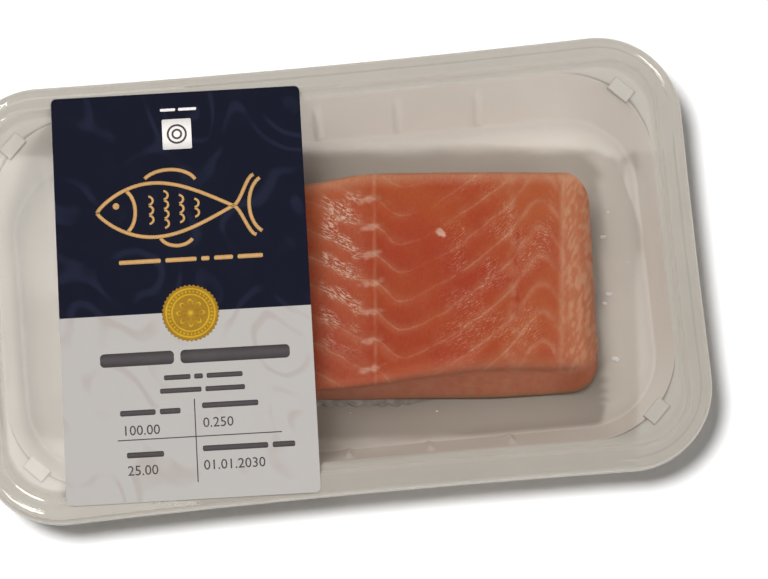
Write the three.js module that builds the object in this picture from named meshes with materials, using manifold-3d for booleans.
// A sealed tray of fresh salmon: a clear thermoformed tray with a rounded corner rim, one portion of
// fillet lying skin side down on its floor, a clear film sealed over the rim, and a paper label stuck
// across the film towards the left end. Lengths are millimetres, +Z is up. X runs along the tray,
// Y across it away from the reader of the label, and the origin is on the base below the tray's middle.
import * as THREE from 'three';
import Module from 'manifold-3d';
import { mergeVertices } from 'three/addons/utils/BufferGeometryUtils.js';

const wasm = await Module();
wasm.setup();

// ---------------------------------------------------------------- driving dimensions: tray
const TRAY_LENGTH = 250;
const TRAY_WIDTH = 151;
const TRAY_HEIGHT = 40;
const SHEET = 0.8; // wall of the moulded tray
const RIM_CORNER = 29; // radius of the rim's corners, seen from above
const RIM_ROLL = 1.7; // rounding where the rim turns down
const SKIRT_DEPTH = 5; // height of the turned-down rim
const SKIRT_FLARE = 0.5; // how far the skirt leans out towards its foot
const LONG_SIDE_BOW = 1.15; // how far the film pulls each long side in at its middle
const SHORT_SIDE_BOW = 0.3;

const MOUTH_HALF_X = 115.8; // the pocket's edge on the rim
const MOUTH_HALF_Y = 66.6;
const MOUTH_CORNER = 17;
const LEDGE_DROP = 2.5; // the stacking ledge below the rim
const WALL_TOP_HALF_X = 113.6; // where the main wall starts down from the ledge
const WALL_TOP_HALF_Y = 64.2;
const WALL_TOP_CORNER = 31;
const END_WALL_DRAFT = 3.6; // how far a wall leans in over its height
const LONG_WALL_DRAFT = 10;
const FLOOR_ROUND = 5; // rounding between wall and floor
const CORNER_PER_INSET = 0.6; // how fast the corner radius tightens as the wall comes in

const RIB_PITCH = 28; // upright ribs of the long walls
const RIB_PAIRS = 2;
const RIB_HALF_WIDTH = 2.2;
const RIB_DEPTH = 1.3;

const LUG_LENGTH = 8.4; // denesting lugs in the four corners, turned to face them
const LUG_WIDTH = 5;
const LUG_DEPTH = 7;
const LUG_ABOVE_LEDGE = 1;
const LUG_X = 105;
const LUG_Y = 56;
const LUG_ANGLE = THREE.MathUtils.degToRad(45);

// ---------------------------------------------------------------- driving dimensions: film, label
const GAP = 0.3; // clearance kept between pieces that touch
const FILM_THICKNESS = 0.3;
const FILM_EDGE = 1.9; // the film's edge, in from the tray's edge
const LABEL_LENGTH = 140.4;
const LABEL_WIDTH = 85.4;
const LABEL_THICKNESS = 0.25;
const LABEL_CORNER = 1.8;
const LABEL_X = -50.5;
const LABEL_Y = -1.3;
const LABEL_TURN = THREE.MathUtils.degToRad(-2.1);

// ---------------------------------------------------------------- driving dimensions: fillet
// The fillet has its own frame: s runs towards the thick back edge, t across the portion.
// s = 0 is the seam between the back and the belly muscle.
const FILLET_X = 14.5;
const FILLET_Y = -0.5;
const FILLET_TURN = THREE.MathUtils.degToRad(-5);
const BELLY_END = -79;
const BACK_END = 76.5;
const FAR_EDGE = 37.4; // cut edge away from the reader
const FAR_EDGE_BELLY = 33.9; // the same edge beyond the step at the seam
const FAR_STEP = [-13, -3]; // where it steps
const NEAR_EDGE_BELLY = -36.4; // cut edge near the reader, along the top
const NEAR_EDGE_BACK = -32.6;
const NEAR_BASE = -37.5; // the same cut at the skin
const BASE_UNDERCUT = 2; // the far cut leans the same way
const CORNER_BACK_NEAR = 9; // plan radii of the portion's four corners
const CORNER_BACK_FAR = 5;
const CORNER_BELLY = 7;
const CUT_ROUND = 1.9; // rounding of the cut's top edge
const BACK_ROUND = 10; // length over which the back edge rounds down
const BACK_EDGE_HEIGHT = 9; // height of the flesh where that rounding ends
const SKIN_THICKNESS = 0.8;
const SKIN_FRINGE = 2.4; // the skin shows beyond the flesh along part of the near cut
const FRINGE_FROM = -40;
const FRINGE_TO = 12;
const BACK_LIFT = 3; // the skin side curls up off the floor at the back edge
const LIFT_LENGTH = 18;

// Height of the flesh above the skin, from the belly end to the back: [s, height].
const HEIGHT_STATIONS = [[-79, 8.5], [-62, 13], [-36, 19], [-12, 23.2], [12, 25.4], [40, 25.8], [60, 24.6], [76.5, 22.5]];
// One muscle layer's line across the portion, measured from the seam: [s, t].
const LAYER_STATIONS = [[-79, 34], [-48, 22], [-20, 7.8], [-6, 0], [0, -0.6], [8, -7.1], [16, -5.3],
  [30, 3.1], [46, 15.5], [57, 28], [66, 19], [76.5, 9]];
const LAYER_PITCH = 9.9;
const LAYER_RELIEF = 0.7; // how far each muscle layer bulges between its seams
const SEAM_GROOVE = 0.6;
const SEAM_WIDTH = 2.4;
const SECOND_SEAM = 47.4; // the blurred seam towards the back
const SURFACE_WAVE = 0.5; // slow unevenness of the top

const FILLET_COLUMNS = 60;
const FILLET_ROWS = 32;
const FILLET_SIDE_LEVELS = 3;

// ---------------------------------------------------------------- derived sizes
const HALF_LENGTH = TRAY_LENGTH / 2;
const HALF_WIDTH = TRAY_WIDTH / 2;
const LEDGE_Z = TRAY_HEIGHT - LEDGE_DROP;
const WALL_RISE = LEDGE_Z - SHEET;
const SKIN_Z = SHEET + GAP;
const FLESH_Z = SKIN_Z + SKIN_THICKNESS + GAP;
const FILM_Z = TRAY_HEIGHT + GAP;
const LABEL_Z = FILM_Z + FILM_THICKNESS + GAP;

// ---------------------------------------------------------------- small helpers
const clamp = THREE.MathUtils.clamp;
const lerp = THREE.MathUtils.lerp;

function smooth(from, to, value) {
  return THREE.MathUtils.smoothstep(value, from, to);
}

// A smooth curve through a short list of stations, read at one place.
function through(stations) {
  return (at) => {
    const last = stations.length - 1;
    let i = 0;
    while (i < last - 1 && stations[i + 1][0] < at) i += 1;
    const slope = (k) => {
      const a = stations[Math.max(k - 1, 0)];
      const b = stations[Math.min(k + 1, last)];
      return (b[1] - a[1]) / (b[0] - a[0]);
    };
    const [x0, y0] = stations[i];
    const [x1, y1] = stations[i + 1];
    const span = x1 - x0;
    const f = clamp((at - x0) / span, 0, 1);
    const rise = f * f * (3 - 2 * f);
    const start = f * (1 - f) * (1 - f) * slope(i);
    const end = f * f * (f - 1) * slope(i + 1);
    return lerp(y0, y1, rise) + span * (start + end);
  };
}

const fleshHeight = through(HEIGHT_STATIONS);
const layerLine = through(LAYER_STATIONS);

// Triangles between two lines of points with different counts, joined at both ends.
function stitch(left, right) {
  const triangles = [];
  let i = 0;
  let j = 0;
  while (i < left.length - 1 || j < right.length - 1) {
    const nextLeft = (i + 1) / Math.max(left.length - 1, 1);
    const nextRight = (j + 1) / Math.max(right.length - 1, 1);
    const stepLeft = j === right.length - 1 || (i < left.length - 1 && nextLeft <= nextRight);
    if (stepLeft) {
      triangles.push([left[i], right[j], left[i + 1]]);
      i += 1;
    } else {
      triangles.push([left[i], right[j], right[j + 1]]);
      j += 1;
    }
  }
  return triangles;
}

// A band of quads between two closed rings of the same count.
function band(lower, upper) {
  const triangles = [];
  for (let i = 0; i < lower.length; i += 1) {
    const k = (i + 1) % lower.length;
    triangles.push([lower[i], lower[k], upper[k]], [lower[i], upper[k], upper[i]]);
  }
  return triangles;
}

// A flat cap over one closed ring.
function cap(points, ring) {
  const flat = ring.map((index) => new THREE.Vector2(points[index].x, points[index].y));
  return THREE.ShapeUtils.triangulateShape(flat, []).map((face) => face.map((i) => ring[i]));
}

// One closed body from points and triangles, with its faces turned outwards.
function closedBody(points, triangles) {
  let volume = 0;
  for (const [a, b, c] of triangles) {
    volume += points[a].dot(new THREE.Vector3().crossVectors(points[b], points[c]));
  }
  const faces = volume < 0 ? triangles.map(([a, b, c]) => [a, c, b]) : triangles;
  const geometry = new THREE.BufferGeometry().setFromPoints(points);
  geometry.setIndex(faces.flat());
  geometry.computeVertexNormals();
  return geometry;
}

// A body lofted through closed rings of points, capped flat at both ends.
function loftedBody(rings) {
  const points = rings.flat();
  const count = rings[0].length;
  const indices = rings.map((ring, k) => ring.map((_, i) => k * count + i));
  const triangles = [];
  for (let k = 0; k + 1 < rings.length; k += 1) {
    triangles.push(...band(indices[k], indices[k + 1]));
  }
  const bottom = cap(points, indices[0]).map(([a, b, c]) => [a, c, b]);
  triangles.push(...bottom, ...cap(points, indices[rings.length - 1]));
  return closedBody(points, triangles);
}

function asSolid(geometry) {
  const bare = geometry.clone();
  for (const name of Object.keys(bare.attributes)) {
    if (name !== 'position') bare.deleteAttribute(name);
  }
  const merged = mergeVertices(bare, 1e-5);
  const mesh = new wasm.Mesh({
    numProp: 3,
    vertProperties: new Float32Array(merged.attributes.position.array),
    triVerts: new Uint32Array(merged.index.array),
  });
  return new wasm.Manifold(mesh);
}

function asGeometry(solid) {
  const mesh = solid.getMesh();
  const geometry = new THREE.BufferGeometry();
  geometry.setAttribute('position', new THREE.BufferAttribute(new Float32Array(mesh.vertProperties), 3));
  geometry.setIndex(new THREE.BufferAttribute(new Uint32Array(mesh.triVerts), 1));
  geometry.computeVertexNormals();
  return geometry;
}

function place(name, geometry, color, roughness, opacity = 1) {
  const material = new THREE.MeshStandardMaterial({ color, roughness, metalness: 0 });
  material.transparent = opacity < 1;
  material.opacity = opacity;
  const mesh = new THREE.Mesh(geometry, material);
  mesh.name = name;
  return mesh;
}

// ---------------------------------------------------------------- tray
const CORNER_STEPS = 8;
const SIDE_STEPS = 4;

// Where a long side is sampled: its two ends and five places over each rib.
function ribPlaces() {
  const places = [];
  for (let k = -RIB_PAIRS; k <= RIB_PAIRS; k += 1) {
    for (const across of [-1, -0.5, 0, 0.5, 1]) {
      places.push(k * RIB_PITCH + across * RIB_HALF_WIDTH);
    }
  }
  return places;
}

// Inward bulge of the ribs at one place along a long wall.
function ribProfile(x) {
  const nearest = clamp(Math.round(x / RIB_PITCH), -RIB_PAIRS, RIB_PAIRS) * RIB_PITCH;
  const across = Math.min(Math.abs(x - nearest) / RIB_HALF_WIDTH, 1);
  return RIB_DEPTH * (1 + Math.cos(Math.PI * across)) / 2;
}

// One level of the tray seen from above: a rounded rectangle whose sides bow in, with ribs.
function trayRing({ halfX, halfY, radius, z, bow = 1, rib = 0 }) {
  const ring = [];
  const straightX = halfX - radius;
  const straightY = halfY - radius;
  const longSide = (x, sign) => {
    const pull = bow * LONG_SIDE_BOW * (1 - (x / straightX) ** 2);
    return new THREE.Vector3(x, sign * (halfY - pull - rib * ribProfile(x)), z);
  };
  const corner = (signX, signY, from) => {
    for (let k = 1; k < CORNER_STEPS; k += 1) {
      const angle = from + (Math.PI / 2) * (k / CORNER_STEPS);
      ring.push(new THREE.Vector3(
        signX * straightX + radius * Math.cos(angle),
        signY * straightY + radius * Math.sin(angle),
        z,
      ));
    }
  };
  const shortSide = (sign) => {
    for (let k = 0; k <= SIDE_STEPS; k += 1) {
      const y = sign * lerp(-straightY, straightY, k / SIDE_STEPS);
      const pull = bow * SHORT_SIDE_BOW * (1 - (y / straightY) ** 2);
      ring.push(new THREE.Vector3(sign * (halfX - pull), y, z));
    }
  };
  const along = [-straightX, ...ribPlaces(), straightX];
  along.forEach((x) => ring.push(longSide(x, -1)));
  corner(1, -1, -Math.PI / 2);
  shortSide(1);
  corner(1, 1, 0);
  [...along].reverse().forEach((x) => ring.push(longSide(x, 1)));
  corner(-1, 1, Math.PI / 2);
  shortSide(-1);
  corner(-1, -1, Math.PI);
  return ring;
}

// The wall's level at a height above the floor, moved outwards by the sheet where asked.
function wallLevel(rise, outward) {
  const lean = 1 - rise / WALL_RISE;
  const round = rise < FLOOR_ROUND
    ? FLOOR_ROUND - Math.sqrt(FLOOR_ROUND ** 2 - (FLOOR_ROUND - rise) ** 2)
    : 0;
  const insetX = lean * END_WALL_DRAFT + round;
  const insetY = lean * LONG_WALL_DRAFT + round;
  const downward = clamp((FLOOR_ROUND - rise) / FLOOR_ROUND, 0, 1);
  const sideways = outward * Math.sqrt(1 - downward ** 2);
  return {
    halfX: WALL_TOP_HALF_X - insetX + sideways,
    halfY: WALL_TOP_HALF_Y - insetY + sideways,
    radius: WALL_TOP_CORNER - CORNER_PER_INSET * insetY + sideways,
    z: SHEET + rise - outward * downward,
    bow: rise / WALL_RISE,
    rib: smooth(3, 9, rise) * (1 - smooth(22, 33, rise)),
  };
}

const WALL_RISES = [0, 0.7, 2.2, FLOOR_ROUND, 12, 22, 30, WALL_RISE];

// The rim's levels from the ledge out to the foot of the skirt, as distances in from the tray's edge.
function rimLevels(under) {
  const sheet = under ? SHEET : 0;
  const edge = (inset, drop) => ({
    halfX: HALF_LENGTH - inset,
    halfY: HALF_WIDTH - inset,
    radius: RIM_CORNER - inset,
    z: TRAY_HEIGHT - drop,
  });
  const mouth = (out, drop) => ({
    halfX: MOUTH_HALF_X + out,
    halfY: MOUTH_HALF_Y + out,
    radius: MOUTH_CORNER + out,
    z: TRAY_HEIGHT - drop,
  });
  const skirtTop = SKIRT_FLARE + sheet;
  return [
    mouth(sheet, LEDGE_DROP + sheet),
    mouth(0.5 + sheet, sheet),
    edge(skirtTop + RIM_ROLL - sheet, sheet),
    edge(skirtTop + 0.3 * (RIM_ROLL - sheet), 0.3 * RIM_ROLL + 0.7 * sheet),
    edge(skirtTop, RIM_ROLL),
    edge(sheet, SKIRT_DEPTH),
  ];
}

function trayShell() {
  const outside = WALL_RISES.map((rise) => wallLevel(rise, SHEET));
  const inside = WALL_RISES.map((rise) => wallLevel(rise, 0));
  outside[outside.length - 1].z -= SHEET;
  const levels = [...outside, ...rimLevels(true), ...rimLevels(false).reverse(), ...inside.reverse()];
  return loftedBody(levels.map(trayRing));
}

// A lug is a block that bridges the ledge and the top of the wall at a corner.
function cornerLugs() {
  const lugs = [];
  for (const signX of [-1, 1]) {
    for (const signY of [-1, 1]) {
      const lug = new THREE.BoxGeometry(LUG_LENGTH, LUG_WIDTH, LUG_DEPTH);
      lug.rotateZ(-signX * signY * LUG_ANGLE);
      lug.translate(signX * LUG_X, signY * LUG_Y, LEDGE_Z + LUG_ABOVE_LEDGE - LUG_DEPTH / 2);
      lugs.push(lug);
    }
  }
  return lugs;
}

function makeTray() {
  let solid = asSolid(trayShell());
  for (const lug of cornerLugs()) {
    solid = solid.add(asSolid(lug));
  }
  return place('tray', asGeometry(solid), 0xb9b0a6, 0.18, 0.35);
}

// ---------------------------------------------------------------- film and label
function roundedPlate(length, width, radius, thickness, curveSegments) {
  const x = length / 2;
  const y = width / 2;
  const shape = new THREE.Shape();
  shape.absarc(x - radius, -y + radius, radius, -Math.PI / 2, 0);
  shape.absarc(x - radius, y - radius, radius, 0, Math.PI / 2);
  shape.absarc(-x + radius, y - radius, radius, Math.PI / 2, Math.PI);
  shape.absarc(-x + radius, -y + radius, radius, Math.PI, 1.5 * Math.PI);
  return new THREE.ExtrudeGeometry(shape, { depth: thickness, bevelEnabled: false, curveSegments });
}

function makeFilm() {
  const length = TRAY_LENGTH - 2 * FILM_EDGE;
  const width = TRAY_WIDTH - 2 * FILM_EDGE;
  const film = roundedPlate(length, width, RIM_CORNER - FILM_EDGE, FILM_THICKNESS, CORNER_STEPS);
  film.translate(0, 0, FILM_Z);
  return place('lid_film', film, 0xe6e2dc, 0.08, 0.3);
}

function makeLabel() {
  const label = roundedPlate(LABEL_WIDTH, LABEL_LENGTH, LABEL_CORNER, LABEL_THICKNESS, 3);
  const mesh = place('label', label, 0x24263a, 0.45);
  mesh.position.set(LABEL_X, LABEL_Y, LABEL_Z);
  mesh.rotation.z = LABEL_TURN;
  return mesh;
}

// ---------------------------------------------------------------- fillet
// The four edges of the portion along its top.
function farEdge(s) {
  return lerp(FAR_EDGE_BELLY, FAR_EDGE, smooth(FAR_STEP[0], FAR_STEP[1], s));
}

function nearEdge(s) {
  return lerp(NEAR_EDGE_BELLY, NEAR_EDGE_BACK, smooth(-30, 60, s));
}

// A square's corner drawn in to a quarter circle.
function roundCorner(across, along, radius, halfAcross, halfAlong) {
  const a = (Math.abs(across) - (halfAcross - radius)) / radius;
  const b = (Math.abs(along) - (halfAlong - radius)) / radius;
  if (a <= 0 || b <= 0) return [across, along];
  const roundA = a * Math.sqrt(1 - b * b / 2);
  const roundB = b * Math.sqrt(1 - a * a / 2);
  return [
    Math.sign(across) * (halfAcross - radius + radius * roundA),
    Math.sign(along) * (halfAlong - radius + radius * roundB),
  ];
}

// Where a column and a row of the fillet's grid lie, with the near edge given by a function of s.
function gridPlace(column, row, near, far) {
  const halfS = (BACK_END - BELLY_END) / 2;
  const halfT = (FAR_EDGE - NEAR_BASE) / 2;
  const s = lerp(-halfS, halfS, column);
  const t = lerp(-halfT, halfT, row);
  let radius = CORNER_BELLY;
  if (s > 0) radius = t > 0 ? CORNER_BACK_FAR : CORNER_BACK_NEAR;
  const [roundS, roundT] = roundCorner(s, t, radius, halfS, halfT);
  const placeS = roundS + (BELLY_END + BACK_END) / 2;
  const placeT = lerp(near(placeS), far(placeS), (roundT + halfT) / (2 * halfT));
  return [placeS, placeT];
}

// Grid steps that crowd towards the two edges, where the surface rounds down.
function crowdedSteps(count, edge) {
  const inner = count - 2;
  const steps = [0];
  for (let k = 0; k <= inner; k += 1) steps.push(lerp(edge, 1 - edge, k / inner));
  steps.push(1);
  return steps;
}

const COLUMN_STEPS = crowdedSteps(FILLET_COLUMNS, 0.01);
const ROW_STEPS = crowdedSteps(FILLET_ROWS, 0.022);

// How far the skin side stands off the floor.
function lift(s) {
  return BACK_LIFT * smooth(BACK_END - LIFT_LENGTH, BACK_END + 4, s);
}

// Drop of a rounded edge at a distance in from it.
function edgeDrop(distance, round) {
  const short = clamp(round - distance, 0, round);
  return round - Math.sqrt(round * round - short * short);
}

// Muscle layers bulge between seams that run across the portion as long bent lines.
function layerRelief(s, t) {
  const phase = (t - layerLine(s)) / LAYER_PITCH;
  const bulge = Math.abs(Math.sin(Math.PI * phase));
  const seam = Math.exp(-((s / SEAM_WIDTH) ** 2)) + 0.6 * Math.exp(-(((s - SECOND_SEAM) / SEAM_WIDTH) ** 2));
  const wave = Math.sin(s / 13 + 1) * Math.cos(t / 11 - 0.6);
  return LAYER_RELIEF * (bulge - 0.6) - SEAM_GROOVE * seam + SURFACE_WAVE * wave;
}

// Height of the flesh's top above the skin side.
function topHeight(s, t) {
  const cut = Math.min(t - nearEdge(s), farEdge(s) - t);
  const back = BACK_END - s;
  const backFall = 1 - edgeDrop(Math.max(back, 0), BACK_ROUND) / BACK_ROUND;
  const crown = fleshHeight(s) + layerRelief(s, t) * smooth(0, 8, cut) * smooth(2, 9, back);
  return lerp(BACK_EDGE_HEIGHT, crown, backFall) - edgeDrop(Math.max(cut, 0), CUT_ROUND)
    - edgeDrop(Math.max(s - BELLY_END, 0), CUT_ROUND);
}

function inTray(s, t, z) {
  const cos = Math.cos(FILLET_TURN);
  const sin = Math.sin(FILLET_TURN);
  return new THREE.Vector3(FILLET_X + s * cos - t * sin, FILLET_Y + s * sin + t * cos, z);
}

// The grid's border as [column, row] steps, once round: near edge, back end, far edge, belly end.
function borderSteps() {
  const columns = COLUMN_STEPS.length - 1;
  const rows = ROW_STEPS.length - 1;
  const near = COLUMN_STEPS.map((_, i) => [i, 0]);
  const back = ROW_STEPS.map((_, j) => [columns, j]).slice(1);
  const far = COLUMN_STEPS.map((_, i) => [columns - i, rows]).slice(1);
  const belly = ROW_STEPS.map((_, j) => [0, rows - j]).slice(1, -1);
  return [...near, ...back, ...far, ...belly];
}

const baseNear = () => NEAR_BASE;
const baseFar = (s) => farEdge(s) - BASE_UNDERCUT;

// Faces that close a ring of border points straight across from the near edge to the far edge.
function ladder(ring) {
  const columns = COLUMN_STEPS.length - 1;
  const rows = ROW_STEPS.length - 1;
  const near = (i) => ring[i];
  const far = (i) => ring[columns + rows + (columns - i)];
  const backLine = Array.from({ length: rows + 1 }, (_, j) => ring[columns + j]);
  const bellyLine = [ring[0], ...Array.from({ length: rows }, (_, j) => ring[ring.length - 1 - j])];
  const triangles = [...stitch(bellyLine, [near(1), far(1)])];
  for (let i = 1; i < columns - 1; i += 1) {
    triangles.push([near(i), near(i + 1), far(i + 1)], [near(i), far(i + 1), far(i)]);
  }
  triangles.push(...stitch([near(columns - 1), far(columns - 1)], backLine));
  return triangles;
}

function makeFlesh() {
  const columns = COLUMN_STEPS.length;
  const rows = ROW_STEPS.length;
  const points = [];
  for (const column of COLUMN_STEPS) {
    for (const row of ROW_STEPS) {
      const [s, t] = gridPlace(column, row, nearEdge, farEdge);
      points.push(inTray(s, t, FLESH_Z + lift(s) + topHeight(s, t)));
    }
  }
  const at = (i, j) => i * rows + j;
  const triangles = [];
  for (let i = 0; i + 1 < columns; i += 1) {
    for (let j = 0; j + 1 < rows; j += 1) {
      triangles.push([at(i, j), at(i + 1, j), at(i + 1, j + 1)], [at(i, j), at(i + 1, j + 1), at(i, j + 1)]);
    }
  }
  const border = borderSteps();
  let upper = border.map(([i, j]) => at(i, j));
  for (let level = 1; level <= FILLET_SIDE_LEVELS; level += 1) {
    const down = level / FILLET_SIDE_LEVELS;
    const lower = border.map(([i, j], k) => {
      const [topS, topT] = gridPlace(COLUMN_STEPS[i], ROW_STEPS[j], nearEdge, farEdge);
      const [s, t] = gridPlace(COLUMN_STEPS[i], ROW_STEPS[j], baseNear, baseFar);
      const topZ = FLESH_Z + lift(topS) + topHeight(topS, topT);
      const z = lerp(topZ, FLESH_Z + lift(s), down);
      points.push(inTray(lerp(topS, s, down), lerp(topT, t, down), z));
      return points.length - 1;
    });
    triangles.push(...band(lower, upper));
    upper = lower;
  }
  triangles.push(...ladder(upper).map(([a, b, c]) => [a, c, b]));
  return place('salmon_flesh', closedBody(points, triangles), 0xd96f4a, 0.3);
}

// The skin follows the flesh's base and shows beyond it along part of the near cut.
function skinNear(s) {
  const fringe = smooth(FRINGE_FROM, FRINGE_FROM + 10, s) * (1 - smooth(FRINGE_TO - 6, FRINGE_TO + 12, s));
  return NEAR_BASE - SKIN_FRINGE * fringe;
}

function makeSkin() {
  const points = [];
  const ringAt = (height) => borderSteps().map(([i, j]) => {
    const [s, t] = gridPlace(COLUMN_STEPS[i], ROW_STEPS[j], skinNear, baseFar);
    points.push(inTray(s, t, SKIN_Z + height + lift(s)));
    return points.length - 1;
  });
  const lower = ringAt(0);
  const upper = ringAt(SKIN_THICKNESS);
  const triangles = [...band(lower, upper), ...ladder(upper), ...ladder(lower).map(([a, b, c]) => [a, c, b])];
  return place('salmon_skin', closedBody(points, triangles), 0x6f726c, 0.35);
}

// ---------------------------------------------------------------- the pack
const pack = new THREE.Group();
pack.add(makeTray(), makeSkin(), makeFlesh(), makeFilm(), makeLabel());

export default pack;
